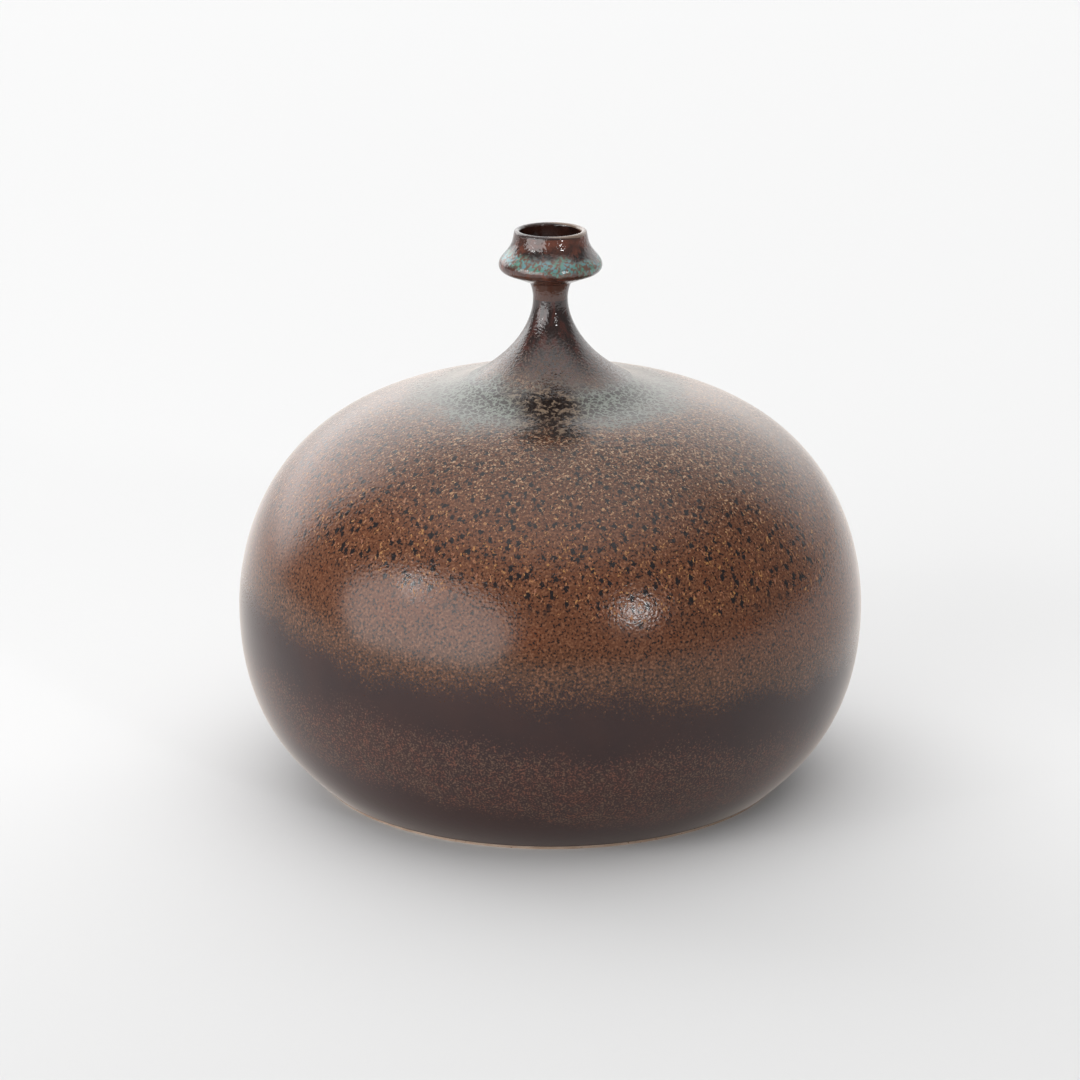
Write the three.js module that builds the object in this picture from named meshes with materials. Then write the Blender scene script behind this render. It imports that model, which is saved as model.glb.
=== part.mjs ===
// Stoneware bottle vase: a wheel-thrown belly, a narrow neck and a flared collar round the mouth.
// Millimetres, +Z up. The origin is the centre of the foot, on the surface that the vase stands on.
//
// The pot is thrown in sections and luted together with slip, then glazed outside and inside. Its whole
// fired surface is one meridian: from the wiped foot up the outside, over the rim, and down through the
// bore to the middle of the inside floor. Glaze and clay lie at their own depths below that line.

import * as THREE from 'three';

// Foot and floor
const footRadius = 102.3; // where the glazed wall starts, above the bare foot
const footBand = 1.2; // bare clay between the surface and the wall's start
const footSlope = 42; // degrees, the wall's rise where it leaves the foot
const footRingHeight = 4;
const footRingWidth = 9;
const footChamfer = 0.6;
const floorThickness = 7.2;
const coveHeight = 16; // inside curve from floor to wall
const coveWidth = 34;

// Belly, shoulder and neck
const bellyRadius = 135;
const bellyHeight = 75.2;
const shoulderRadius = 52.3;
const shoulderRise = 94.6; // belly line to shoulder
const shoulderSlope = 10; // degrees
const waistRadius = 7.4;
const neckRise = 40.7; // shoulder to the waist of the neck

// How far each curve holds its end direction
const footHold = 19.9;
const underBellyHold = 42;
const overBellyHold = 24.8;
const shoulderHold = 73.2;
const neckRootHold = 26.9;
const waistHold = 15.9;

// Collar, each rise counted from the waist
const stubFlare = 1.5; // how much the neck widens up to the collar
const stubRise = 7;
const undersideRise = 11.4;
const lipUndercut = 2.2; // underside's end, in from the widest line
const lipRise = 14.6;
const skirtRise = 24.8;
const rimRise = 28.2;
const lipOverhang = 6.5; // widest line, out from the rim
const wallLean = 0.7; // top of the skirt, out from the rim
const mouthRadius = 12.9;
const cupDepth = 14; // how far the mouth stays open before it narrows
const boreHold = 12; // how far the bore stays straight above the waist

// Clay walls, under the glaze
const bodyWall = 5.9;
const neckWall = 2.3;
const rimWall = 0.95;

// Glaze and slip
const glazeThickness = 0.5;
const glazeGap = 0.3; // clearance behind each coat
const slipThickness = 0.8;
const glazeLineHeight = 60; // where the speckled coat ends over the dark one

// Lap joints between the sections
const neckJointRise = 5.6; // shoulder to the neck's seat
const lapThickness = 2.4;
const lapHeight = 3;
const lapGap = 0.3;

const segments = 36;

const cover = glazeThickness + glazeGap;
const shoulderHeight = bellyHeight + shoulderRise;
const waistHeight = shoulderHeight + neckRise;
const neckJointHeight = shoulderHeight + neckJointRise;
const rimHeight = waistHeight + rimRise;
const rimHalf = rimWall / 2 + cover;
const rimRadius = mouthRadius + 2 * rimHalf;
const lipRadius = rimRadius + lipOverhang;
const boreRadius = waistRadius - neckWall - 2 * cover;
const floorHeight = footRingHeight + floorThickness + cover;

function at(radius, height) {
  return new THREE.Vector2(radius, height);
}

function away(point, length, degrees) {
  const angle = THREE.MathUtils.degToRad(degrees);
  return at(point.x + length * Math.cos(angle), point.y + length * Math.sin(angle));
}

// The outside of body and neck, as three curves.
const footEdge = at(footRadius, footBand);
const bellyLine = at(bellyRadius, bellyHeight);
const shoulder = at(shoulderRadius, shoulderHeight);
const waist = at(waistRadius, waistHeight);

const underBelly = new THREE.CubicBezierCurve(
  footEdge,
  away(footEdge, footHold, footSlope),
  away(bellyLine, underBellyHold, -90),
  bellyLine,
);
const overBelly = new THREE.CubicBezierCurve(
  bellyLine,
  away(bellyLine, overBellyHold, 90),
  away(shoulder, shoulderHold, -shoulderSlope),
  shoulder,
);
const neckFlare = new THREE.CubicBezierCurve(
  shoulder,
  away(shoulder, neckRootHold, 180 - shoulderSlope),
  away(waist, waistHold, -90),
  waist,
);

// The collar, from the waist out under the skirt, round the lip and up to the rim.
const stubTop = at(waistRadius + stubFlare, waistHeight + stubRise);
const undersideEnd = at(lipRadius - lipUndercut, waistHeight + undersideRise);
const lip = at(lipRadius, waistHeight + lipRise);
const skirtTop = at(rimRadius + wallLean, waistHeight + skirtRise);
const rimOuter = at(rimRadius, rimHeight);
const rimInner = at(mouthRadius, rimHeight);

const stub = new THREE.QuadraticBezierCurve(waist, at(waistRadius, waistHeight + stubRise / 2), stubTop);
const lipTurn = new THREE.QuadraticBezierCurve(
  undersideEnd,
  at(lipRadius, undersideEnd.y + (lip.y - undersideEnd.y) / 3),
  lip,
);
const skirt = new THREE.CubicBezierCurve(
  lip,
  at(lipRadius, lip.y + (skirtTop.y - lip.y) / 3),
  at(skirtTop.x + (lip.x - skirtTop.x) / 4, (lip.y + skirtTop.y) / 2),
  skirtTop,
);
const rimRound = new THREE.EllipseCurve(
  mouthRadius + rimHalf, rimHeight, rimHalf, rimHalf, 0, Math.PI,
);
const cup = new THREE.CubicBezierCurve(
  rimInner,
  away(rimInner, cupDepth, -90),
  at(boreRadius, waistHeight + boreHold),
  at(boreRadius, waistHeight),
);

// The point at one height of an outline that rises all the way.
function pointAt(line, height) {
  const next = Math.max(1, line.findIndex((point) => point.y >= height));
  const share = (height - line[next - 1].y) / (line[next].y - line[next - 1].y);
  const point = line[next - 1].clone().lerp(line[next], share);
  return at(point.x, height);
}

// The stretch of a rising outline between two heights, cut level at both.
function between(line, low, high) {
  const inside = line.filter((point) => point.y > low && point.y < high);
  return [pointAt(line, low), ...inside, pointAt(line, high)];
}

function above(line, low) {
  return [pointAt(line, low), ...line.filter((point) => point.y > low)];
}

function below(line, high) {
  return [...line.filter((point) => point.y < high), pointAt(line, high)];
}

// The inside face of a curve's wall, from its top end down, as thick as given at its lower and upper ends.
function innerFace(curve, steps, lowerWall, upperWall) {
  const points = [];
  for (let step = steps; step >= 0; step -= 1) {
    const share = step / steps;
    const point = curve.getPointAt(share);
    const run = curve.getTangentAt(share);
    const wall = THREE.MathUtils.lerp(lowerWall, upperWall, share);
    points.push(at(point.x - run.y * wall, point.y + run.x * wall));
  }
  return points;
}

// The cavity, from the bore down to the cove and the middle of the floor.
const bodyTotal = bodyWall + 2 * cover;
const neckTotal = neckWall + 2 * cover;
const cavityWall = [
  ...innerFace(neckFlare, 6, bodyTotal, neckTotal),
  ...innerFace(overBelly, 7, bodyTotal, bodyTotal).slice(1),
  ...innerFace(underBelly, 5, bodyTotal, bodyTotal).slice(1),
];
const risingWall = [...cavityWall].reverse();
const coveTop = pointAt(risingWall, floorHeight + coveHeight);
const coveCorner = pointAt(risingWall, floorHeight);
const cove = new THREE.QuadraticBezierCurve(
  coveTop,
  coveCorner,
  at(coveCorner.x - coveWidth, floorHeight),
);

const outsideLine = [
  ...underBelly.getSpacedPoints(6),
  ...overBelly.getSpacedPoints(10).slice(1),
  ...neckFlare.getSpacedPoints(7).slice(1),
  ...stub.getPoints(2).slice(1),
  ...lipTurn.getPoints(2),
  ...skirt.getPoints(4).slice(1),
  ...rimRound.getPoints(4),
];
const crest = outsideLine.length - 3; // the rim's last two points already lead down the inside
const surface = [
  ...outsideLine,
  ...cup.getPoints(6).slice(1),
  ...cavityWall.slice(1).filter((point) => point.y > coveTop.y),
  ...cove.getPoints(3),
  at(0, floorHeight),
];

// The whole surface moved into the clay by one depth, as a rising outer and a rising inner outline.
function atDepth(depth) {
  const line = surface.map((point, index) => {
    const before = surface[Math.max(index - 1, 0)];
    const after = surface[Math.min(index + 1, surface.length - 1)];
    const run = after.clone().sub(before).normalize();
    return at(point.x - run.y * depth, point.y + run.x * depth);
  });
  return { outer: line.slice(0, crest + 1), inner: line.slice(crest).reverse() };
}

const fired = atDepth(0);
const glazeBack = atDepth(glazeThickness);
const clay = atDepth(cover);

function material(color, roughness) {
  return new THREE.MeshStandardMaterial({ color, roughness, metalness: 0 });
}

const buffStoneware = material(0xc9ac8c, 0.85);
const slip = material(0xb59a7c, 0.9);
const satinAubergineGlaze = material(0x4b3c3e, 0.35);
const speckledBrownGlaze = material(0x7a5a44, 0.35);
const glossChocolateGlaze = material(0x37231f, 0.15);
const copperMottledGlaze = material(0x4f6e63, 0.2);
const linerGlaze = material(0x3a201b, 0.15);

const vase = new THREE.Group();

// Adds the solid of revolution of one section. A section that isn't closed starts and ends on the axis.
function turn(name, section, finish) {
  const onAxis = section[0].x < 1e-6 && section[section.length - 1].x < 1e-6;
  const profile = onAxis ? section : [...section, section[0]];
  const geometry = new THREE.LatheGeometry(profile, segments);
  geometry.rotateX(Math.PI / 2);
  const mesh = new THREE.Mesh(geometry, finish);
  mesh.name = name;
  vase.add(mesh);
}

function reversed(line) {
  return [...line].reverse();
}

// The foot: a turned ring whose bare edge shows, with the glaze starting above it.
const footFace = pointAt(clay.outer, footRingHeight);
const bareRadius = clay.outer[0].x;
const footInside = bareRadius - footRingWidth;
turn('foot_ring', [
  at(footInside + footChamfer, 0),
  at(bareRadius - footChamfer, 0),
  at(bareRadius, footChamfer),
  clay.outer[0],
  footFace,
  at(footInside, footRingHeight),
  at(footInside, footChamfer),
], buffStoneware);

// One lap joint: the lower section's inner half stands up as a tongue inside the upper section's rebate,
// and a ring of slip lies on the outer ledge.
function lapJoint(height) {
  const innerRadius = pointAt(clay.inner, height).x;
  return {
    ledge: height - slipThickness / 2,
    seat: height + slipThickness / 2,
    tongueRadius: innerRadius + lapThickness,
    tongueTop: height + lapHeight,
  };
}

function tongue(joint) {
  return [
    at(joint.tongueRadius, joint.ledge),
    at(joint.tongueRadius, joint.tongueTop),
  ];
}

function rebate(joint) {
  return [
    at(joint.tongueRadius + lapGap, joint.tongueTop + lapGap),
    at(joint.tongueRadius + lapGap, joint.seat),
  ];
}

function slipRing(name, joint) {
  turn(name, [
    at(joint.tongueRadius + lapGap, joint.ledge),
    ...between(clay.outer, joint.ledge, joint.seat),
    at(joint.tongueRadius + lapGap, joint.seat),
  ], slip);
}

const bellyJoint = lapJoint(bellyHeight);
const neckJoint = lapJoint(neckJointHeight);
const collarLedge = waistHeight - slipThickness / 2;
const collarSeat = waistHeight + slipThickness / 2;

// The bowl with its floor, from the foot ring to the belly line.
turn('lower_body', [
  at(0, footRingHeight),
  ...between(clay.outer, footRingHeight, bellyJoint.ledge),
  ...tongue(bellyJoint),
  ...reversed(below(clay.inner, bellyJoint.tongueTop)),
], buffStoneware);

slipRing('belly_seam', bellyJoint);

// The dome, from the belly line to the neck's seat.
turn('upper_body', [
  ...between(clay.outer, bellyJoint.seat, neckJoint.ledge),
  ...tongue(neckJoint),
  ...reversed(between(clay.inner, bellyJoint.tongueTop + lapGap, neckJoint.tongueTop)),
  ...rebate(bellyJoint),
], buffStoneware);

slipRing('neck_seam', neckJoint);

// The neck, from its seat on the dome to the waist.
turn('neck', [
  ...between(clay.outer, neckJoint.seat, collarLedge),
  ...reversed(between(clay.inner, neckJoint.tongueTop + lapGap, collarLedge)),
  ...rebate(neckJoint),
], buffStoneware);

turn('collar_seam', [
  ...between(clay.outer, collarLedge, collarSeat),
  ...reversed(between(clay.inner, collarLedge, collarSeat)),
], slip);

// The collar, a flared cup with a rounded rim.
turn('mouth_collar', [
  ...above(clay.outer, collarSeat),
  ...reversed(above(clay.inner, collarSeat)).slice(1),
], buffStoneware);

// Glaze coats outside, each butting level on the next.
function coat(name, low, high, finish) {
  turn(name, [
    ...between(fired.outer, low, high),
    ...reversed(between(glazeBack.outer, low, high)),
  ], finish);
}

const glazeFoot = glazeBack.outer[0].y;
coat('lower_glaze', glazeFoot, glazeLineHeight, satinAubergineGlaze);
coat('upper_glaze', glazeLineHeight, neckJointHeight, speckledBrownGlaze);
coat('neck_glaze', neckJointHeight, waistHeight, glossChocolateGlaze);
coat('collar_glaze', waistHeight, rimHeight, copperMottledGlaze);

// The coat over the rim, in the cup and down the bore to the waist.
turn('mouth_glaze', [
  ...above(fired.outer, rimHeight),
  ...reversed(above(fired.inner, waistHeight)).slice(1),
  ...above(glazeBack.inner, waistHeight),
  ...reversed(above(glazeBack.outer, rimHeight)).slice(1),
], linerGlaze);

// The liner inside the body, from the waist down to the floor.
turn('body_liner', [
  ...below(glazeBack.inner, waistHeight),
  ...reversed(below(fired.inner, waistHeight)),
], linerGlaze);

export default vase;
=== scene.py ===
import math
from functools import partial

import bpy
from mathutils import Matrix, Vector


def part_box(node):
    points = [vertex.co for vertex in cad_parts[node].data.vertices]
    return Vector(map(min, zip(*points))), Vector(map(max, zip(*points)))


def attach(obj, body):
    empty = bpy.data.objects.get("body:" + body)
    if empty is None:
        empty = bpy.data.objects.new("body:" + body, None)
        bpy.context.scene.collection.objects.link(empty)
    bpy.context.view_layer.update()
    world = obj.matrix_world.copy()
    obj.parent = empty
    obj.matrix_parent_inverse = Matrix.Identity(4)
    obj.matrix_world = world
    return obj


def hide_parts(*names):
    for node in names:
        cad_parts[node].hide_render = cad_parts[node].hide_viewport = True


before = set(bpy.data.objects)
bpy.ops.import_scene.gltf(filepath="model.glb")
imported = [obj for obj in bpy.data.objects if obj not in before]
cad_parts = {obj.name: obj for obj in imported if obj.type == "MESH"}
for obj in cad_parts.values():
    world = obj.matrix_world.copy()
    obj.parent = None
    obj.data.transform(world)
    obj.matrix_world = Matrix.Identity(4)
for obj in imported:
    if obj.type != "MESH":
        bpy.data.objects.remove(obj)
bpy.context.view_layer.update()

# The view
# The photograph is taken from 1.5 m away with a long lens, a little above the vase and a hair to its left,
# so that the body's top shows and the mouth is a flat oval.
MM = 0.001
IMAGE_PIXELS = 1080
SENSOR_WIDTH = 36.0
FOCAL_PIXELS = 3631.0
VASE_PIXEL_X = 550.0
CAMERA_DISTANCE = 1.5
CAMERA_HEIGHT = 0.5775
CAMERA_PITCH = math.radians(17.57)

sight_length = CAMERA_DISTANCE * math.cos(CAMERA_PITCH) + CAMERA_HEIGHT * math.sin(CAMERA_PITCH)
camera_side = -(VASE_PIXEL_X - IMAGE_PIXELS / 2) / FOCAL_PIXELS * sight_length
bpy.ops.object.camera_add(
    location=(camera_side, -CAMERA_DISTANCE, CAMERA_HEIGHT),
    rotation=(math.pi / 2 - CAMERA_PITCH, 0, 0),
)
camera = bpy.context.object
camera.name = "camera"
camera.data.sensor_width = SENSOR_WIDTH
camera.data.lens = FOCAL_PIXELS * SENSOR_WIDTH / IMAGE_PIXELS
bpy.context.scene.camera = camera
bpy.context.scene.view_settings.view_transform = "Standard"

# The foot ring
# The foot is the bottom edge of the thrown bowl, trimmed to a flat ring on the wheel when leather hard.
# It is wiped clean before the firing, so a line of bare buff clay shows under the glaze.
TURNS = 192
CLOSE_ROW = 0.15 * MM
MERGE_DISTANCE = 0.002 * MM
CREASE = math.radians(40)
GLAZE = 0.5 * MM
COVER = 0.8 * MM
BODY_WALL = 5.9 * MM
NECK_WALL = 2.3 * MM
RIM_WALL = 0.95 * MM
FOOT_RADIUS = 102.3 * MM
FOOT_BAND = 1.2 * MM
FOOT_RING_WIDTH = 9 * MM
FOOT_ROUND = 0.5 * MM
TRIM_GROOVE = 0.25 * MM
GROOVE_SHARE = 0.6
SHOULDER_RADIUS = 52.3 * MM
SHOULDER_BELOW_WAIST = 40.7 * MM
WAIST_RADIUS = 7.4 * MM
MOUTH_RADIUS = 12.9 * MM
COVE_HEIGHT = 16 * MM
COVE_WIDTH = 34 * MM

# The collar's profile, with its heights counted up from the waist of the neck.
STUB_FLARE = 1.5 * MM
STUB_HEIGHT = 7 * MM
LIP_THICKNESS = 2.2 * MM
UNDERSIDE_HEIGHT = 11.4 * MM
LIP_HEIGHT = 14.6 * MM
SKIRT_INSET = 0.7 * MM
SKIRT_HEIGHT = 24.8 * MM
CUP_HEIGHT = 12 * MM

# How far each curve of the outline is drawn out at its ends, and which way, in degrees from the radius.
FOOT_HANDLE = (19.9 * MM, 42)
BELLY_HANDLE_DOWN = 42 * MM
BELLY_HANDLE_UP = 24.8 * MM
SHOULDER_SLOPE = -10
SHOULDER_HANDLE_OUT = 73.2 * MM
SHOULDER_HANDLE_IN = 26.9 * MM
WAIST_HANDLE = 15.9 * MM
STUB_HANDLE = 3.5 * MM
CUP_HANDLE = 14 * MM

belly_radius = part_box("upper_glaze")[1].x
belly_ledge, belly_seat = (corner.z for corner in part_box("belly_seam"))
waist_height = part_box("neck_glaze")[1].z
lip_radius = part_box("collar_glaze")[1].x
rim_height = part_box("collar_glaze")[1].z
floor_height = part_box("body_liner")[0].z + GLAZE


def away(point, length, degrees):
    """The end of a straight line from a point, turned up from the radius by an angle in degrees."""
    angle = math.radians(degrees)
    return (point[0] + length * math.cos(angle), point[1] + length * math.sin(angle))


def curve(controls, steps):
    """Points along a Bezier curve, from its first control point to its last."""
    points = []
    for step in range(steps + 1):
        line = [Vector(control) for control in controls]
        while len(line) > 1:
            line = [a.lerp(b, step / steps) for a, b in zip(line, line[1:])]
        points.append(line[0])
    return points


def set_back(line, first_depth, last_depth):
    """An outline moved to the left of its run, by a depth that changes evenly from end to end."""
    moved = []
    last = len(line) - 1
    for index, point in enumerate(line):
        run = line[min(index + 1, last)] - line[max(index - 1, 0)]
        run.normalize()
        depth = first_depth + (last_depth - first_depth) * index / last
        moved.append(point + Vector((-run.y, run.x)) * depth)
    return moved


def point_at(line, height):
    """The point of a rising outline at one height."""
    for low, high in zip(line, line[1:]):
        if low.y <= height <= high.y:
            return low.lerp(high, (height - low.y) / (high.y - low.y))
    raise ValueError("the outline does not reach " + str(height))


def between(line, low, high):
    """The stretch of a rising outline between two heights, with a close row of points at each end, so
    that the shading runs on into the next piece."""
    inner = [point for point in line if low + 2 * CLOSE_ROW < point.y < high - 2 * CLOSE_ROW]
    return [point_at(line, low), point_at(line, low + CLOSE_ROW), *inner,
            point_at(line, high - CLOSE_ROW), point_at(line, high)]


def above(line, low):
    return [point_at(line, low), *[point for point in line if point.y > low]]


def below(line, high):
    return [*[point for point in line if point.y < high], point_at(line, high)]


def falling(line):
    return list(reversed(line))


# The whole fired surface is one outline of (radius, height): from the wiped foot up the outside, over the
# rim, and down the bore to the middle of the floor. Clay and glaze lie at their own depths below it.
rim_half = RIM_WALL / 2 + COVER
rim_radius = MOUTH_RADIUS + 2 * rim_half
bore_radius = WAIST_RADIUS - NECK_WALL - 2 * COVER
foot_edge = (FOOT_RADIUS, FOOT_BAND)
belly = (belly_radius, (belly_ledge + belly_seat) / 2)
shoulder = (SHOULDER_RADIUS, waist_height - SHOULDER_BELOW_WAIST)
waist = (WAIST_RADIUS, waist_height)
stub_top = (WAIST_RADIUS + STUB_FLARE, waist_height + STUB_HEIGHT)
underside_end = (lip_radius - LIP_THICKNESS, waist_height + UNDERSIDE_HEIGHT)
lip = (lip_radius, waist_height + LIP_HEIGHT)
skirt_top = (rim_radius + SKIRT_INSET, waist_height + SKIRT_HEIGHT)
rim_inner = (MOUTH_RADIUS, rim_height)

under_belly = curve([
    foot_edge,
    away(foot_edge, *FOOT_HANDLE),
    away(belly, BELLY_HANDLE_DOWN, -90),
    belly,
], steps=34)
over_belly = curve([
    belly,
    away(belly, BELLY_HANDLE_UP, 90),
    away(shoulder, SHOULDER_HANDLE_OUT, SHOULDER_SLOPE),
    shoulder,
], steps=56)
neck_flare = curve([
    shoulder,
    away(shoulder, SHOULDER_HANDLE_IN, SHOULDER_SLOPE + 180),
    away(waist, WAIST_HANDLE, -90),
    waist,
], steps=40)
stub = curve([waist, away(waist, STUB_HANDLE, 90), stub_top], steps=8)
underside = curve([stub_top, underside_end], steps=6)
lip_turn = curve([
    underside_end,
    (lip[0], underside_end[1] + (lip[1] - underside_end[1]) / 3),
    lip,
], steps=10)
skirt = curve([
    lip,
    (lip[0], lip[1] + (skirt_top[1] - lip[1]) / 3),
    (skirt_top[0] + (lip[0] - skirt_top[0]) / 4, (lip[1] + skirt_top[1]) / 2),
    skirt_top,
], steps=22)
rim_steps = 16
rim_round = [
    Vector((MOUTH_RADIUS + rim_half, rim_height))
    + rim_half * Vector((math.cos(math.pi * step / rim_steps), math.sin(math.pi * step / rim_steps)))
    for step in range(rim_steps + 1)
]
cup = curve([
    rim_inner,
    away(rim_inner, CUP_HANDLE, -90),
    (bore_radius, waist_height + CUP_HEIGHT),
    (bore_radius, waist_height),
], steps=24)

body_depth = BODY_WALL + 2 * COVER
neck_depth = NECK_WALL + 2 * COVER
cavity = (
    set_back(under_belly, body_depth, body_depth)
    + set_back(over_belly, body_depth, body_depth)[1:]
    + set_back(neck_flare, body_depth, neck_depth)[1:]
)
cove_top = point_at(cavity, floor_height + COVE_HEIGHT)
cove_corner = point_at(cavity, floor_height)
cove = curve([cove_top, cove_corner, (cove_corner.x - COVE_WIDTH, floor_height)], steps=14)

outside = (
    under_belly + over_belly[1:] + neck_flare[1:] + stub[1:] + underside[1:] + lip_turn[1:]
    + skirt[1:] + rim_round
)
crest = len(outside) - 1 - rim_steps // 2
surface = (
    outside + cup[1:] + [point for point in reversed(cavity[:-1]) if point.y > cove_top.y] + cove
    + [Vector((0, floor_height))]
)


def at_depth(depth):
    """The fired surface set back into the clay, as a rising outer and a rising inner outline."""
    line = set_back(surface, depth, depth)
    return line[:crest + 1], falling(line[crest:])


fired_outer, fired_inner = at_depth(0)
back_outer, back_inner = at_depth(GLAZE)
clay_outer, clay_inner = at_depth(COVER)


def throw(name, node, section, material):
    """Spins a closed section about the wheel's axis, and lets the piece stand for its node."""
    bpy.ops.object.select_all(action="DESELECT")
    bpy.ops.mesh.primitive_circle_add(vertices=len(section), radius=belly_radius)
    piece = bpy.context.object
    piece.name = name
    for vertex, point in zip(piece.data.vertices, section):
        vertex.co = (point[0], 0, point[1])
    bpy.ops.object.mode_set(mode="EDIT")
    bpy.ops.mesh.select_all(action="SELECT")
    bpy.ops.mesh.spin(steps=TURNS, angle=2 * math.pi, center=(0, 0, 0), axis=(0, 0, 1))
    bpy.ops.mesh.select_all(action="SELECT")
    bpy.ops.mesh.remove_doubles(threshold=MERGE_DISTANCE)
    bpy.ops.mesh.delete_loose()
    bpy.ops.mesh.select_all(action="SELECT")
    bpy.ops.mesh.normals_make_consistent(inside=False)
    bpy.ops.object.mode_set(mode="OBJECT")
    bpy.ops.object.shade_smooth_by_angle(angle=CREASE)
    piece.data.materials.append(material)
    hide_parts(node)
    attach(piece, "root")
    return piece


def linear(colour):
    """An sRGB hex colour as linear red, green and blue, with full alpha."""
    parts = [(colour >> shift & 255) / 255 for shift in (16, 8, 0)]
    return (*[part / 12.92 if part <= 0.04045 else ((part + 0.055) / 1.055) ** 2.4 for part in parts], 1)


def add_node(tree, kind, settings, feeds, out=None):
    """Adds a shader node with its settings, and with a value or another node's output in its sockets."""
    node = tree.nodes.new("ShaderNode" + kind)
    for name, value in settings.items():
        setattr(node, name, value)
    sockets = [socket for socket in node.inputs if socket.enabled]
    for key, value in feeds.items():
        socket = sockets[key] if isinstance(key, int) else next(s for s in sockets if s.name == key)
        if isinstance(value, bpy.types.NodeSocket):
            tree.links.new(value, socket)
        else:
            socket.default_value = value
    results = [socket for socket in node.outputs if socket.enabled and out in (None, socket.name)]
    return results[0] if results else None


def start_material(name):
    """An empty material, and the function that adds nodes to it."""
    material = bpy.data.materials.new(name)
    material.use_nodes = True
    material.node_tree.nodes.clear()
    return material, partial(add_node, material.node_tree)


SMOOTH = {"interpolation_type": "SMOOTHSTEP"}
COLOUR = {"data_type": "RGBA"}
VEIL_ROUGHNESS = 0.25
CLAY_ROUGHNESS = 0.85
CLAY_IOR = 1.5
CLAY_CLOUD = 9 * MM
SAND = 0.7 * MM
SAND_DEPTH = 0.06 * MM
IRON_SPECK = 1.0 * MM


def blotches(add, place, size, start, full, detail=1.0, warp=0.0):
    """Irregular blotches of about one size: 0 where the noise is at start, 1 from where it is full."""
    noise = add("TexNoise", {}, {"Vector": place, "Scale": 1 / size, "Detail": detail, "Distortion": warp})
    return add("MapRange", SMOOTH, {"Value": noise, "From Min": start, "From Max": full})


def seal(add, colour, roughness, relief, depth, ior, sheen=0.0):
    """Ends a material in one skin. Its relief is as deep as given, and its sheen, where it has one, is a
    pale and slightly warm veil where the surface is seen at a slant."""
    bump = add("Bump", {}, {"Height": relief, "Distance": depth})
    shader = add("BsdfPrincipled", {}, {
        "Base Color": colour, "Roughness": roughness, "IOR": ior, "Normal": bump,
        "Sheen Weight": sheen, "Sheen Roughness": VEIL_ROUGHNESS, "Sheen Tint": linear(0xFFF4EC)})
    add("OutputMaterial", {}, {"Surface": shader})


def buff_clay(name, pale, dark):
    """Bare stoneware, sponged and fired, which looks dull and dry: a buff body with fine sand and a few
    darker iron specks. Sand of 0.3 mm and specks of 0.5 mm would not show, so both are drawn at about
    twice their size."""
    material, add = start_material(name)
    place = add("TexCoord", {}, {}, out="Object")
    cloud = blotches(add, place, CLAY_CLOUD, 0.35, 0.65)
    sand = blotches(add, place, SAND, 0.4, 0.62, detail=2)
    iron = blotches(add, place, IRON_SPECK, 0.68, 0.76)
    body = add("Mix", COLOUR, {"Factor": cloud, "A": linear(pale), "B": linear(dark)})
    speckled = add("Mix", COLOUR, {"Factor": iron, "A": body, "B": linear(0x6E4C36)})
    seal(add, speckled, roughness=CLAY_ROUGHNESS, relief=sand, depth=SAND_DEPTH, ior=CLAY_IOR)
    return material


bare_radius = clay_outer[0].x
foot_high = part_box("foot_ring")[1].z
foot_inside = bare_radius - FOOT_RING_WIDTH
groove_height = FOOT_BAND * GROOVE_SHARE
buff_stoneware = buff_clay("buff_stoneware", 0xC8B2A0, 0xB89F8B)
throw("trimmed_foot", "foot_ring", [
    (foot_inside + FOOT_ROUND, 0),
    *curve([(bare_radius - FOOT_ROUND, 0), (bare_radius, 0), (bare_radius, FOOT_ROUND)], steps=4),
    (bare_radius, groove_height - TRIM_GROOVE / 2),
    (bare_radius - TRIM_GROOVE, groove_height),
    (bare_radius, groove_height + TRIM_GROOVE / 2),
    *between(clay_outer, clay_outer[0].y, foot_high),
    (foot_inside, foot_high),
    (foot_inside, FOOT_ROUND),
], buff_stoneware)

# The lower body
# The bowl of the pot, thrown in buff stoneware with a coved floor. Its top edge is cut to a lap: the inner
# half stands up as a tongue, and the slip and the dome sit on the ledge outside it.
LAP = 2.4 * MM
LAP_HEIGHT = 3 * MM
LAP_GAP = 0.3 * MM


def lap_radius(ledge, seat):
    return point_at(clay_inner, (ledge + seat) / 2).x + LAP


def tongue(radius, ledge, seat):
    return [(radius, ledge), (radius, (ledge + seat) / 2 + LAP_HEIGHT)]


def rebate(radius, ledge, seat):
    return [(radius + LAP_GAP, (ledge + seat) / 2 + LAP_HEIGHT + LAP_GAP), (radius + LAP_GAP, seat)]


belly_lap = lap_radius(belly_ledge, belly_seat)
belly_tongue = tongue(belly_lap, belly_ledge, belly_seat)
throw("thrown_bowl", "lower_body", [
    (0, foot_high),
    *between(clay_outer, foot_high, belly_ledge),
    *belly_tongue,
    *falling(below(clay_inner, belly_tongue[1][1])),
], buff_stoneware)

# The belly seam
# A ring of slip, the runny clay that joins the scored edges of bowl and dome. It is smoothed flush.
joining_slip = buff_clay("joining_slip", 0xB89D7F, 0xA88A6C)


def slip_ring(name, node, ledge, seat, radius):
    throw(name, node, [
        (radius + LAP_GAP, ledge), *between(clay_outer, ledge, seat), (radius + LAP_GAP, seat),
    ], joining_slip)


slip_ring("belly_slip", "belly_seam", belly_ledge, belly_seat, belly_lap)

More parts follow.
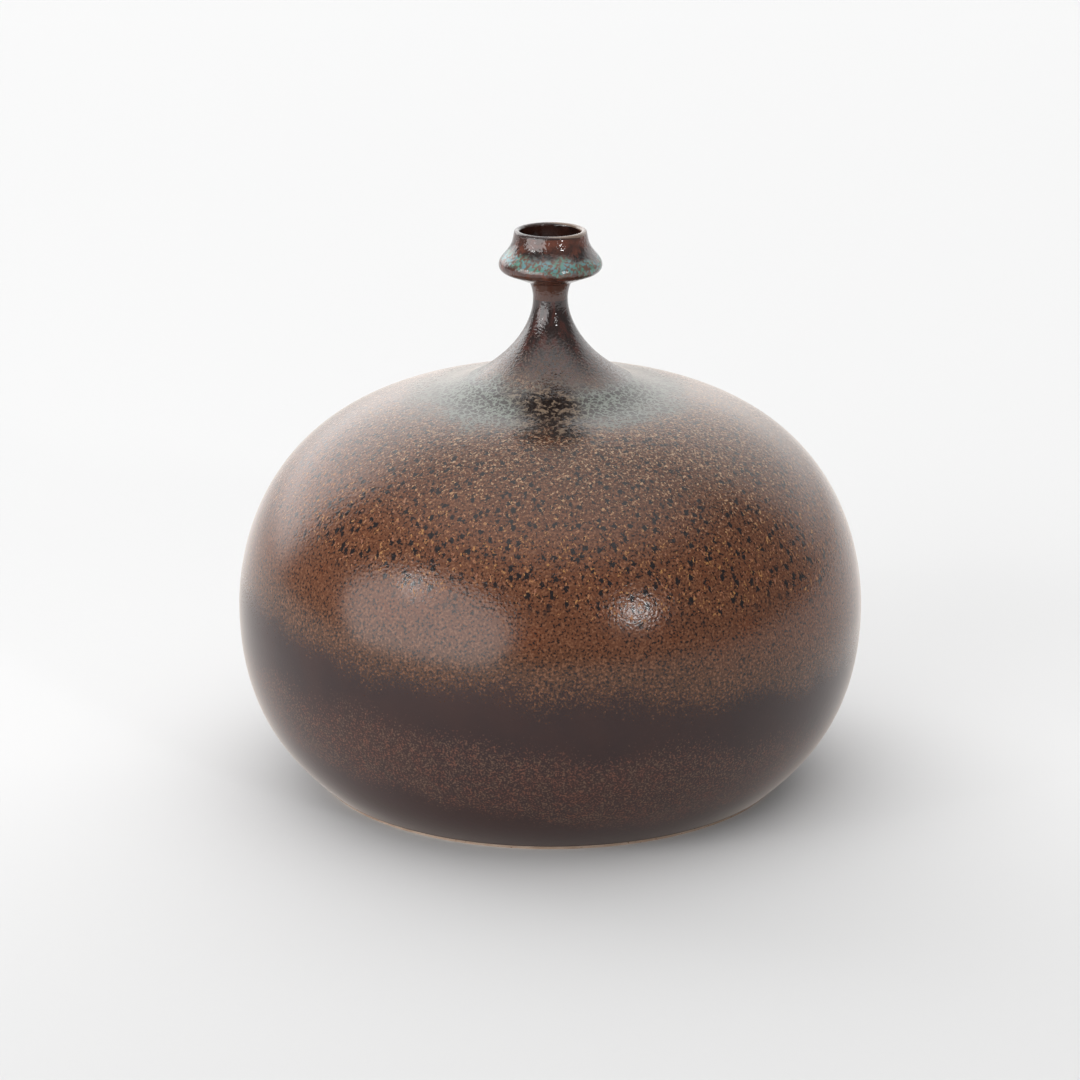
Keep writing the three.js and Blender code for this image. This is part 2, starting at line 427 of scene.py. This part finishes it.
# The upper body
# The dome of the pot, thrown as a second bowl and turned over onto the first. Its lower edge has the
# rebate that takes the bowl's tongue, and its top edge has a tongue for the neck.
neck_ledge, neck_seat = (corner.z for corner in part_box("neck_seam"))
neck_lap = lap_radius(neck_ledge, neck_seat)
neck_tongue = tongue(neck_lap, neck_ledge, neck_seat)
belly_rebate = rebate(belly_lap, belly_ledge, belly_seat)
throw("thrown_dome", "upper_body", [
    *between(clay_outer, belly_seat, neck_ledge),
    *neck_tongue,
    *falling(between(clay_inner, belly_rebate[0][1], neck_tongue[1][1])),
    *belly_rebate,
], buff_stoneware)

# The neck seam
# The second ring of slip, between the dome and the neck.
slip_ring("neck_slip", "neck_seam", neck_ledge, neck_seat, neck_lap)

# The neck
# A slender neck that flares down into the dome, thrown by itself and luted on when leather hard.
collar_ledge, collar_seat = (corner.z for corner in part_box("collar_seam"))
neck_rebate = rebate(neck_lap, neck_ledge, neck_seat)
throw("thrown_neck", "neck", [
    *between(clay_outer, neck_seat, collar_ledge),
    *falling(between(clay_inner, neck_rebate[0][1], collar_ledge)),
    *neck_rebate,
], buff_stoneware)

# The collar seam
# The last ring of slip, at the waist, where neck and collar meet edge to edge.
throw("collar_slip", "collar_seam", [
    *between(clay_outer, collar_ledge, collar_seat),
    *falling(between(clay_inner, collar_ledge, collar_seat)),
], joining_slip)

# The mouth collar
# A small thrown cup with a sharp flared skirt and an upright wall, luted on top of the neck.
throw("thrown_collar", "mouth_collar", [
    *above(clay_outer, collar_seat),
    *falling(above(clay_inner, collar_seat))[1:],
], buff_stoneware)

# The lower glaze
# A dark saturated iron and manganese glaze, dipped over the lower half: smooth aubergine at the belly, and
# browner at the foot, with a band of fine crystals between. It ends in a bead above the foot.
GLAZE_IOR = 1.5
SATIN_SHEEN = 1.0
DIP_TILT = 0.09
FOOT_FADE = (8 * MM, 30 * MM)
CRYSTAL_BAND = (12 * MM, 26 * MM, 46 * MM, 66 * MM)
CRYSTAL_DRIFT = (40 * MM, 6 * MM)
CRYSTAL = 0.8 * MM
CRYSTAL_HUE = 4 * MM
PLUM_CLOUD = 22 * MM
SATIN_PEEL = 2.5 * MM
SATIN_DEPTH = 0.02 * MM
BEAD_SHARE = 0.3
AUBERGINE_ROUGHNESS = 0.33
CRYSTAL_ROUGHNESS = 0.38
THINNING = 0.3

glaze_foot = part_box("lower_glaze")[0].z
glaze_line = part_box("lower_glaze")[1].z
neck_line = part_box("upper_glaze")[1].z


def laid_over(add, under, over, cover):
    """One layer of glaze over another where cover is 1. A layer is its colour and its roughness."""
    colour = add("Mix", COLOUR, {"Factor": cover, "A": under[0], "B": over[0]})
    roughness = add("Mix", {}, {"Factor": cover, "A": under[1], "B": over[1]})
    return colour, roughness


def uneven(add, place, height, size, drift):
    """The height with a waver of a given size, which moves it by up to the drift, so that a layer that
    follows it ends in an uneven line."""
    noise = add("TexNoise", {}, {"Vector": place, "Scale": 1 / size, "Detail": 2})
    waver = add("MapRange", {}, {"Value": noise, "From Min": 0.25, "From Max": 0.75,
                                 "To Min": -drift, "To Max": drift})
    return add("Math", {"operation": "ADD"}, {0: height, 1: waver})


def fade(add, value, none, full):
    """0 where the value is none, 1 from where it is full."""
    return add("MapRange", SMOOTH, {"Value": value, "From Min": none, "From Max": full})


def both(add, one, other):
    return add("Math", {"operation": "MULTIPLY"}, {0: one, 1: other})


def band(add, height, rise_start, rise_end, fall_start, fall_end):
    """1 between two heights, fading out evenly below and above them."""
    return both(add, fade(add, height, rise_start, rise_end), fade(add, height, fall_end, fall_start))


def scattered(add, grain, share, start, full):
    """The grains of a noise, which lie closer together as the share goes from 0 to 1."""
    raised = add("Math", {"operation": "MULTIPLY_ADD"}, {0: share, 1: THINNING, 2: grain})
    return fade(add, raised, THINNING + start, THINNING + full)


def aubergine_layers(add, place, height):
    """Satin aubergine glaze, which shows broad soft highlights: an even dark purple brown, browner at the
    foot, with brown crystals. They are about 0.3 mm across, too fine to show, and are drawn at 0.8 mm."""
    cloud = blotches(add, place, PLUM_CLOUD, 0.3, 0.7, detail=2)
    plum = add("Mix", COLOUR, {"Factor": cloud, "A": linear(0x291211), "B": linear(0x301612)})
    dark = add("Mix", COLOUR, {
        "Factor": fade(add, height, FOOT_FADE[1], FOOT_FADE[0]), "A": plum, "B": linear(0x2E0E06)})
    grain = add("TexNoise", {}, {"Vector": place, "Scale": 1 / CRYSTAL, "Detail": 2})
    thick = band(add, uneven(add, place, height, *CRYSTAL_DRIFT), *CRYSTAL_BAND)
    share = add("MapRange", {}, {"Value": thick, "To Min": 0.25})
    hue = blotches(add, place, CRYSTAL_HUE, 0.4, 0.6)
    crystal = add("Mix", COLOUR, {"Factor": hue, "A": linear(0x654A3A), "B": linear(0x6A4131)})
    return laid_over(add, (dark, AUBERGINE_ROUGHNESS), (crystal, CRYSTAL_ROUGHNESS),
                     scattered(add, grain, share, 0.45, 0.68))


def read_place(add):
    """The place on the vase, and its height for the glazes: they lie lower on the right, as the pot was
    dipped a little askew."""
    place = add("TexCoord", {}, {}, out="Object")
    height = add("VectorMath", {"operation": "DOT_PRODUCT"}, {0: place, 1: (DIP_TILT, 0, 1)}, out="Value")
    return place, height


def peel(add, place, size, share=1.0):
    """The faint orange peel of a fired glaze, flatter where the share is less than 1."""
    noise = add("TexNoise", {}, {"Vector": place, "Scale": 1 / size, "Detail": 1})
    return both(add, noise, share)


satin_aubergine, add = start_material("satin_aubergine_glaze")
place, height = read_place(add)
seal(add, *aubergine_layers(add, place, height), relief=peel(add, place, SATIN_PEEL),
     depth=SATIN_DEPTH, ior=GLAZE_IOR, sheen=SATIN_SHEEN)

bead_top = point_at(fired_outer, glaze_foot + GLAZE)
bead_back = point_at(back_outer, glaze_foot + BEAD_SHARE * GLAZE)
bead = curve([bead_back, (bead_back.x, glaze_foot), (bead_top.x, glaze_foot), bead_top], steps=8)
throw("aubergine_coat", "lower_glaze", [
    *bead,
    *between(fired_outer, glaze_foot + GLAZE, glaze_line)[1:],
    *falling(between(back_outer, glaze_foot + BEAD_SHARE * GLAZE, glaze_line))[:-1],
], satin_aubergine)


def glaze_coat(name, node, low, high, material):
    """A coat on the outside, trimmed level where the next one starts."""
    throw(name, node, [
        *between(fired_outer, low, high),
        *falling(between(back_outer, low, high)),
    ], material)


# The upper glaze
# A brown rutile glaze sprayed over the dark one from above. Its lower edge is a fuzzy wavering line of
# grains; above it lie dark dots, then tan flecks with blue-black spots, and a copper bloom at the neck.
BORDER = (65 * MM, 91 * MM)
BORDER_DRIFT = (32 * MM, 6 * MM)
BORDER_REACH = 0.3
OLIVE_EDGE = (106 * MM, 82 * MM)
RUSTY_BAND = (82 * MM, 100 * MM, 118 * MM, 140 * MM)
RUSTY_CLOUD = 17 * MM
PALE_SHOULDER = (130 * MM, 166 * MM)
DOT = 1.0 * MM
BROWN_ROUGHNESS = 0.2
BROWN_PEEL = 1.3 * MM
BROWN_DEPTH = 0.13 * MM
SMOOTH_SHARE = 0.15

FLECK = 0.95 * MM
FLECK_LINE = (101 * MM, 117 * MM)
FLECK_DRIFT = (45 * MM, 11 * MM)
FLECK_HUE = 3 * MM
FLECK_ROUGHNESS = 0.42
FLOW = 1.7
CLUSTER = 2.1 * MM
CURL_SPACING = 2.6 * MM
CURL_WANDER = (1.6 * MM, 3.2 * MM)
CURL_LINE = (138 * MM, 192 * MM)
SPOT_SPACING = 3.6 * MM
SPOT_WANDER = (1.0 * MM, 1.8 * MM)
SPOT_TEAR = 0.4
SPOT_ROUGHNESS = 0.16

BLOOM_RADII = (20 * MM, 34 * MM, 48 * MM, 68 * MM)
BLOOM_DRIFT = (14 * MM, 7 * MM)
BLOOM_ROUGHNESS = 0.3
NET_SPACING = 2.8 * MM
NET_WANDER = (2.0 * MM, 3.8 * MM)
NET_ROUGHNESS = 0.35
RUN_WIDTH = (10 * MM, 20 * MM)
RUN_DRIFT = (18 * MM, 6 * MM)
RUN_RADII = (25 * MM, 31 * MM, 56 * MM, 82 * MM)
RUN_BLOTCH = 2.9 * MM
FRONT_FADE = 20 * MM


def wandering(add, place, size, reach):
    """The place pushed about by a noise, so that a regular cell pattern turns ragged."""
    noise = add("TexNoise", {}, {"Vector": place, "Scale": 1 / size, "Detail": 1}, out="Color")
    return add("VectorMath", {"operation": "MULTIPLY_ADD"}, {0: noise, 1: (reach, reach, reach), 2: place})


def brown_ground(add, place, height, edge_height):
    """The brown coat itself, full of fine dark dots and paler grains: cocoa, darker on the shoulder, a
    little rusty where it is thickest, and olive towards its lower edge. The dots and grains are 0.5 mm or
    so across, too fine to show, and are drawn at 1 mm."""
    cloud = add("TexNoise", {}, {"Vector": place, "Scale": 1 / RUSTY_CLOUD, "Detail": 2})
    rusty = both(add, fade(add, cloud, 0.48, 0.7), band(add, height, *RUSTY_BAND))
    cocoa = add("Mix", COLOUR, {
        "Factor": fade(add, height, *PALE_SHOULDER), "A": linear(0x613924), "B": linear(0x4D2B18)})
    rust = add("Mix", COLOUR, {"Factor": rusty, "A": cocoa, "B": linear(0x64371F)})
    brown = add("Mix", COLOUR, {
        "Factor": fade(add, edge_height, *OLIVE_EDGE), "A": rust, "B": linear(0x51321E)})
    grain = add("TexNoise", {}, {"Vector": place, "Scale": 1 / DOT, "Detail": 1})
    paler = add("Mix", COLOUR, {"Factor": fade(add, grain, 0.46, 0.33), "A": brown, "B": linear(0x784F37)})
    return laid_over(add, (paler, BROWN_ROUGHNESS), (linear(0x22110B), BROWN_ROUGHNESS),
                     fade(add, grain, 0.57, 0.645))


def copper_bloom(add, place, under):
    """A net of greyed turquoise lines round the neck, and a run of black blotches in it on the front,
    where the lines are tan."""
    flat = add("VectorMath", {"operation": "MULTIPLY"}, {0: place, 1: (1, 1, 0)})
    radius = add("VectorMath", {"operation": "LENGTH"}, {0: flat}, out="Value")
    away_from_axis = uneven(add, place, radius, *BLOOM_DRIFT)
    ring = band(add, away_from_axis, *BLOOM_RADII)
    ragged = wandering(add, place, *NET_WANDER)
    cell = add("TexVoronoi", {"feature": "DISTANCE_TO_EDGE"}, {"Vector": ragged, "Scale": 1 / NET_SPACING})
    net = fade(add, cell, 0.15, 0.04)

    across = add("SeparateXYZ", {}, {"Vector": place}, out="X")
    front = add("SeparateXYZ", {}, {"Vector": place}, out="Y")
    sideways = add("Math", {"operation": "ABSOLUTE"}, {0: uneven(add, place, across, *RUN_DRIFT)})
    narrow = fade(add, sideways, RUN_WIDTH[1], RUN_WIDTH[0])
    facing = fade(add, front, 0, -FRONT_FADE)
    run = both(add, both(add, narrow, facing), band(add, away_from_axis, *RUN_RADII))
    black = blotches(add, place, RUN_BLOTCH, 0.45, 0.53, detail=2, warp=0.5)
    ground = add("Mix", COLOUR, {"Factor": run, "A": linear(0x342E2B), "B": linear(0x3A2C24)})
    line = add("Mix", COLOUR, {"Factor": run, "A": linear(0x7C8279), "B": linear(0x7D6A57)})
    greyed = laid_over(add, under, (ground, BLOOM_ROUGHNESS), ring)
    netted = laid_over(add, greyed, (line, NET_ROUGHNESS), both(add, ring, net))
    return laid_over(add, netted, (linear(0x1C1411), BROWN_ROUGHNESS), both(add, run, black))


def speckled_layers(add, place, height):
    """Speckled brown glaze over the aubergine one, from its grainy lower edge up to the copper bloom. It
    is glossy on the brown and in the spots and drier on the flecks, so its highlights look broken. The
    spots are scattered evenly, and the flecks join into curly threads towards the neck."""
    edge_height = uneven(add, place, height, *BORDER_DRIFT)
    ground = brown_ground(add, place, height, edge_height)

    flowing = add("Mapping", {}, {"Vector": place, "Scale": (1, 1, 1 / FLOW)})
    fleck_share = fade(add, uneven(add, place, height, *FLECK_DRIFT), *FLECK_LINE)
    clot = add("TexNoise", {}, {"Vector": flowing, "Scale": 1 / CLUSTER, "Detail": 2, "Distortion": 0.4})
    fleck = add("TexNoise", {}, {"Vector": flowing, "Scale": 1 / FLECK, "Detail": 1, "Distortion": 0.6})
    flecked_share = both(add, fleck_share, fade(add, clot, 0.68, 0.42))
    hue = blotches(add, place, FLECK_HUE, 0.35, 0.65)
    gold = add("Mix", COLOUR, {"Factor": hue, "A": linear(0xA67440), "B": linear(0x8F5B40)})
    pale = add("Mix", COLOUR, {
        "Factor": fade(add, height, *PALE_SHOULDER), "A": gold, "B": linear(0xB59576)})
    cell = add("TexVoronoi", {"feature": "DISTANCE_TO_EDGE"}, {
        "Vector": wandering(add, place, *CURL_WANDER), "Scale": 1 / CURL_SPACING})
    curl = both(add, fade(add, cell, 0.1, 0.03), fade(add, fleck, 0.45, 0.55))
    curled = both(add, curl, fade(add, height, *CURL_LINE))
    pale_cover = add("Math", {"operation": "MAXIMUM"}, {
        0: scattered(add, fleck, flecked_share, 0.55, 0.66), 1: curled})
    flecked = laid_over(add, ground, (pale, FLECK_ROUGHNESS), pale_cover)
    from_spot = add("TexVoronoi", {"feature": "F1"}, {
        "Vector": wandering(add, flowing, *SPOT_WANDER), "Scale": 1 / SPOT_SPACING}, out="Distance")
    torn_spot = add("Math", {"operation": "MULTIPLY_ADD"}, {0: fleck, 1: SPOT_TEAR, 2: from_spot})
    spot = both(add, fade(add, torn_spot, 0.53, 0.44), fleck_share)
    spotted = laid_over(add, flecked, (linear(0x191315), SPOT_ROUGHNESS), spot)
    bloomed = copper_bloom(add, place, spotted)

    fine = add("TexNoise", {}, {"Vector": place, "Scale": 1 / CRYSTAL, "Detail": 2})
    climb = add("MapRange", {"clamp": False}, {
        "Value": edge_height, "From Min": BORDER[0], "From Max": BORDER[1],
        "To Min": -BORDER_REACH, "To Max": BORDER_REACH})
    grains = add("Math", {"operation": "ADD"}, {0: fine, 1: climb})
    return laid_over(add, aubergine_layers(add, place, height), bloomed, fade(add, grains, 0.44, 0.56))


speckled_brown, add = start_material("speckled_brown_glaze")
place, height = read_place(add)
rough_share = add("MapRange", {}, {
    "Value": height, "From Min": FLECK_LINE[0], "From Max": FLECK_LINE[1],
    "To Min": SMOOTH_SHARE, "To Max": 1.0})
seal(add, *speckled_layers(add, place, height), relief=peel(add, place, BROWN_PEEL, rough_share),
     depth=BROWN_DEPTH, ior=GLAZE_IOR, sheen=SATIN_SHEEN)
glaze_coat("speckled_coat", "upper_glaze", glaze_line, neck_line, speckled_brown)

# The neck glaze
# The brown glaze thins out up the neck to a dust of fine grains over a glossy chocolate one, which was
# brushed on thickly and ran down in streaks.
GLOSSY_IOR = 1.72
NECK_SHEEN = 0.45
DUST_RISE = (180 * MM, 212 * MM)
DUST_DRIFT = (8 * MM, 4 * MM)
DUST_GRAIN = 1.0 * MM
NECK_START = (neck_line, neck_line + 9 * MM)
STREAK = 2.5 * MM
STREAK_STRETCH = 0.12
CHOCOLATE_ROUGHNESS = 0.08
DUST_ROUGHNESS = 0.45
NECK_PEEL = 1.1 * MM
NECK_DEPTH = 0.17 * MM

# Gloss chocolate glaze, which mirrors the lamps as narrow broken streaks, and is duller where the dust
# lies. The dust's grains are about 0.4 mm across, too fine to show, and are drawn at 1 mm.
gloss_chocolate, add = start_material("gloss_chocolate_glaze")
place, height = read_place(add)
streaked = add("Mapping", {}, {"Vector": place, "Scale": (1, 1, STREAK_STRETCH)})
streaks = blotches(add, streaked, STREAK, 0.45, 0.68, detail=2)
chocolate = add("Mix", COLOUR, {"Factor": streaks, "A": linear(0x24110D), "B": linear(0x47221A)})
grain = add("TexNoise", {}, {"Vector": place, "Scale": 1 / DUST_GRAIN, "Detail": 2})
thin = fade(add, uneven(add, place, height, *DUST_DRIFT), DUST_RISE[1], DUST_RISE[0])
dusted = laid_over(add, (chocolate, CHOCOLATE_ROUGHNESS), (linear(0x543C2F), DUST_ROUGHNESS),
                   scattered(add, grain, thin, 0.45, 0.58))
seal(add, *laid_over(
    add, speckled_layers(add, place, height), dusted, fade(add, height, *NECK_START),
), relief=peel(add, place, NECK_PEEL), depth=NECK_DEPTH, ior=GLOSSY_IOR, sheen=NECK_SHEEN)
glaze_coat("chocolate_coat", "neck_glaze", neck_line, waist_height,
           gloss_chocolate)

# The collar glaze
# Rust brown gloss on the upright wall, mottled black below, and a band of copper turquoise that pooled on
# the skirt. The sharp lip and the underside are brown again, where the glaze drew thin.
TURQUOISE_BAND = (waist_height + 13.5 * MM, waist_height + 15.5 * MM,
                  waist_height + 18.5 * MM, waist_height + 22 * MM)
DARK_BAND = (waist_height + 15 * MM, waist_height + 18.5 * MM,
             waist_height + 21.5 * MM, waist_height + 24.5 * MM)
UNDERSIDE = (waist_height + 13.5 * MM, waist_height + 11 * MM)
RUST_BLOTCH = 5 * MM
MOTTLE = 2.0 * MM
DARK_DRIFT = (9 * MM, 2 * MM)
COPPER_DRIFT = (7 * MM, 2 * MM)
COPPER_PATCH = 1.5 * MM
SEA_CLOUD = 4 * MM
WALL_ROUGHNESS = 0.09
COPPER_ROUGHNESS = 0.2
COLLAR_PEEL = 1.4 * MM
COLLAR_DEPTH = 0.2 * MM

# Copper mottled glaze, which looks wet: its orange peel breaks up the lamps that it mirrors.
copper_mottled, add = start_material("copper_mottled_glaze")
place, height = read_place(add)
rust_share = blotches(add, place, RUST_BLOTCH, 0.4, 0.62, detail=2)
rust = add("Mix", COLOUR, {"Factor": rust_share, "A": linear(0x42261E), "B": linear(0x623527)})
umber = add("Mix", COLOUR, {"Factor": fade(add, height, *UNDERSIDE), "A": rust, "B": linear(0x4E2F25)})
mottle = blotches(add, place, MOTTLE, 0.42, 0.56, detail=2, warp=0.6)
dark_cover = both(add, mottle, band(add, uneven(add, place, height, *DARK_DRIFT), *DARK_BAND))
dark_wall = laid_over(add, (umber, WALL_ROUGHNESS), (linear(0x211614), WALL_ROUGHNESS), dark_cover)
torn = blotches(add, place, COPPER_PATCH, 0.44, 0.54, detail=3, warp=0.8)
copper_share = band(add, uneven(add, place, height, *COPPER_DRIFT), *TURQUOISE_BAND)
veined = laid_over(add, dark_wall, (linear(0x694F43), COPPER_ROUGHNESS), copper_share)
sea = blotches(add, place, SEA_CLOUD, 0.35, 0.65)
turquoise = add("Mix", COLOUR, {"Factor": sea, "A": linear(0x568677), "B": linear(0x60888E)})
seal(add, *laid_over(add, veined, (turquoise, COPPER_ROUGHNESS), both(add, copper_share, torn)),
     relief=peel(add, place, COLLAR_PEEL), depth=COLLAR_DEPTH, ior=GLOSSY_IOR)
glaze_coat("copper_coat", "collar_glaze", waist_height, rim_height, copper_mottled)

# The mouth glaze
# The dark liner glaze, poured in and out again, covers the rim and the cup down to the waist. It drew thin
# on the very edge of the rim in the firing, so a pale line of the clay shows through there.
THIN_EDGE = (rim_height + 0.8 * rim_half, rim_height + 0.97 * rim_half)
LINER_CLOUD = 6 * MM
LINER_ROUGHNESS = 0.12
THIN_ROUGHNESS = 0.2
LINER_PEEL = 1.6 * MM
LINER_DEPTH = 0.15 * MM

# Liner glaze, a red brown gloss so dark that the mouth shows little but the light that it mirrors.
liner_glaze, add = start_material("liner_glaze")
place, height = read_place(add)
liner_share = blotches(add, place, LINER_CLOUD, 0.35, 0.65, detail=2)
liner_brown = add("Mix", COLOUR, {"Factor": liner_share, "A": linear(0x261713), "B": linear(0x3A2019)})
edge_share = fade(add, height, *THIN_EDGE)
seal(add, *laid_over(add, (liner_brown, LINER_ROUGHNESS), (linear(0x7E695A), THIN_ROUGHNESS), edge_share),
     relief=peel(add, place, LINER_PEEL), depth=LINER_DEPTH, ior=GLOSSY_IOR)
throw("rim_coat", "mouth_glaze", [
    *above(fired_outer, rim_height),
    *falling(above(fired_inner, waist_height))[1:],
    *above(back_inner, waist_height),
    *falling(above(back_outer, rim_height))[1:],
], liner_glaze)

# The body liner
# The same liner glaze lies inside the body, from the waist down over the cove and the floor.
throw("liner_coat", "body_liner", [
    *below(back_inner, waist_height),
    *falling(below(fired_inner, waist_height)),
], liner_glaze)

# The studio
# The vase stands on a seamless floor of pale paper. Its colour is painted greyer towards the camera as
# painted shade, and paler far behind as painted light, where the lamps' light falls off. The room is dim
# in front, and bright overhead and behind the vase, most of all on the left.
FLOOR_SIZE = 40.0
# The stretches of floor, in metres, over which the painted shade towards the camera lifts and the painted
# light far behind grows.
NEAR_PAINTED_SHADE = (-0.42, 0.0)
FAR_PAINTED_LIGHT = (0.35, 2.0)
SOFT_LAMP = {"azimuth": -47.5, "elevation": 13, "distance": 3.0, "width": 3.9, "height": 2.3}
SOFT_LAMP_WATTS = 62
SPARK_LAMP = {"azimuth": 32, "elevation": 21, "distance": 3.0, "width": 0.28, "height": 0.28}
SPARK_LAMP_WATTS = 7.8
STRIP_LAMP = {"azimuth": -55, "elevation": 27, "distance": 3.0, "width": 0.1, "height": 0.5}
STRIP_LAMP_WATTS = 3.0
PAPER_ROUGHNESS = 0.9
PAPER_IOR = 1.3
BACK_ELEVATION = 10
BACK_EDGE = (0.36, 0.6)
BACK_RISE = (-0.1, 0.2, 0.58, 0.87)
BACK_LEVEL = 1.8
LEFT_GAIN = 1.15
FRONT_LEVEL = 0.26
CEILING_EDGE = (0.6, 1.0)
CEILING_LEVEL = 1.2


def outward(azimuth, elevation):
    """The direction seen from the vase at an azimuth from the front and an elevation, in degrees."""
    turn = math.radians(azimuth)
    lift = math.radians(elevation)
    return Vector((math.sin(turn) * math.cos(lift), -math.cos(turn) * math.cos(lift), math.sin(lift)))


def lamp(name, azimuth, elevation, distance, width, height, watts):
    """A lamp with an oval front that faces the vase."""
    out = outward(azimuth, elevation)
    bpy.ops.object.light_add(type="AREA", location=Vector((0, 0, belly[1])) + distance * out)
    light = bpy.context.object
    light.name = name
    light.rotation_euler = out.to_track_quat("Z", "Y").to_euler()
    light.data.shape = "ELLIPSE"
    light.data.size = width
    light.data.size_y = height
    light.data.energy = watts


bpy.ops.object.select_all(action="DESELECT")
bpy.ops.mesh.primitive_plane_add(size=FLOOR_SIZE)
floor = bpy.context.object
floor.name = "floor"
pale_floor, add = start_material("pale_floor")
depth = add("SeparateXYZ", {}, {"Vector": add("TexCoord", {}, {}, out="Object")}, out="Y")
near = add("MapRange", {}, {"Value": depth, "From Min": NEAR_PAINTED_SHADE[0], "From Max": NEAR_PAINTED_SHADE[1]})
far = add("MapRange", {}, {"Value": depth, "From Min": FAR_PAINTED_LIGHT[0], "From Max": FAR_PAINTED_LIGHT[1]})
# The paper's grey towards the camera is painted shade, and its paleness far behind is painted light.
paper_with_painted_shade = add("Mix", COLOUR, {"Factor": near, "A": linear(0xD6D6D6), "B": linear(0xE8E8E8)})
paper_and_painted_light = add("Mix", COLOUR, {"Factor": far, "A": paper_with_painted_shade, "B": linear(0xF1F1F1)})
seal(add, paper_and_painted_light, roughness=PAPER_ROUGHNESS, relief=0.0, depth=0.0, ior=PAPER_IOR)
floor.data.materials.append(pale_floor)

# A large soft lamp stands low at the front left, with a narrow upright one above it, and a small one
# stands at the front right.
lamp("soft_lamp", **SOFT_LAMP, watts=SOFT_LAMP_WATTS)
lamp("spark_lamp", **SPARK_LAMP, watts=SPARK_LAMP_WATTS)
lamp("strip_lamp", **STRIP_LAMP, watts=STRIP_LAMP_WATTS)

world = bpy.data.worlds.new("bright_room")
world.use_nodes = True
bpy.context.scene.world = world
world.node_tree.nodes.clear()
add = partial(add_node, world.node_tree)
direction = add("TexCoord", {}, {}, out="Generated")
behind = add("VectorMath", {"operation": "DOT_PRODUCT"}, {
    0: direction, 1: outward(180, BACK_ELEVATION)}, out="Value")
rightward = add("SeparateXYZ", {}, {"Vector": direction}, out="X")
overhead = add("SeparateXYZ", {}, {"Vector": direction}, out="Z")
back_level = add("Math", {"operation": "MULTIPLY_ADD"}, {0: rightward, 1: -LEFT_GAIN, 2: BACK_LEVEL})
shape = both(add, fade(add, behind, *BACK_EDGE), band(add, overhead, *BACK_RISE))
panel = both(add, shape, back_level)
ceiling = both(add, fade(add, overhead, *CEILING_EDGE), CEILING_LEVEL)
level = add("Math", {"operation": "ADD"}, {
    0: FRONT_LEVEL, 1: add("Math", {"operation": "ADD"}, {0: panel, 1: ceiling})})
room = add("Background", {}, {"Color": linear(0xFFFFFF), "Strength": level})
add("OutputWorld", {}, {"Surface": room})
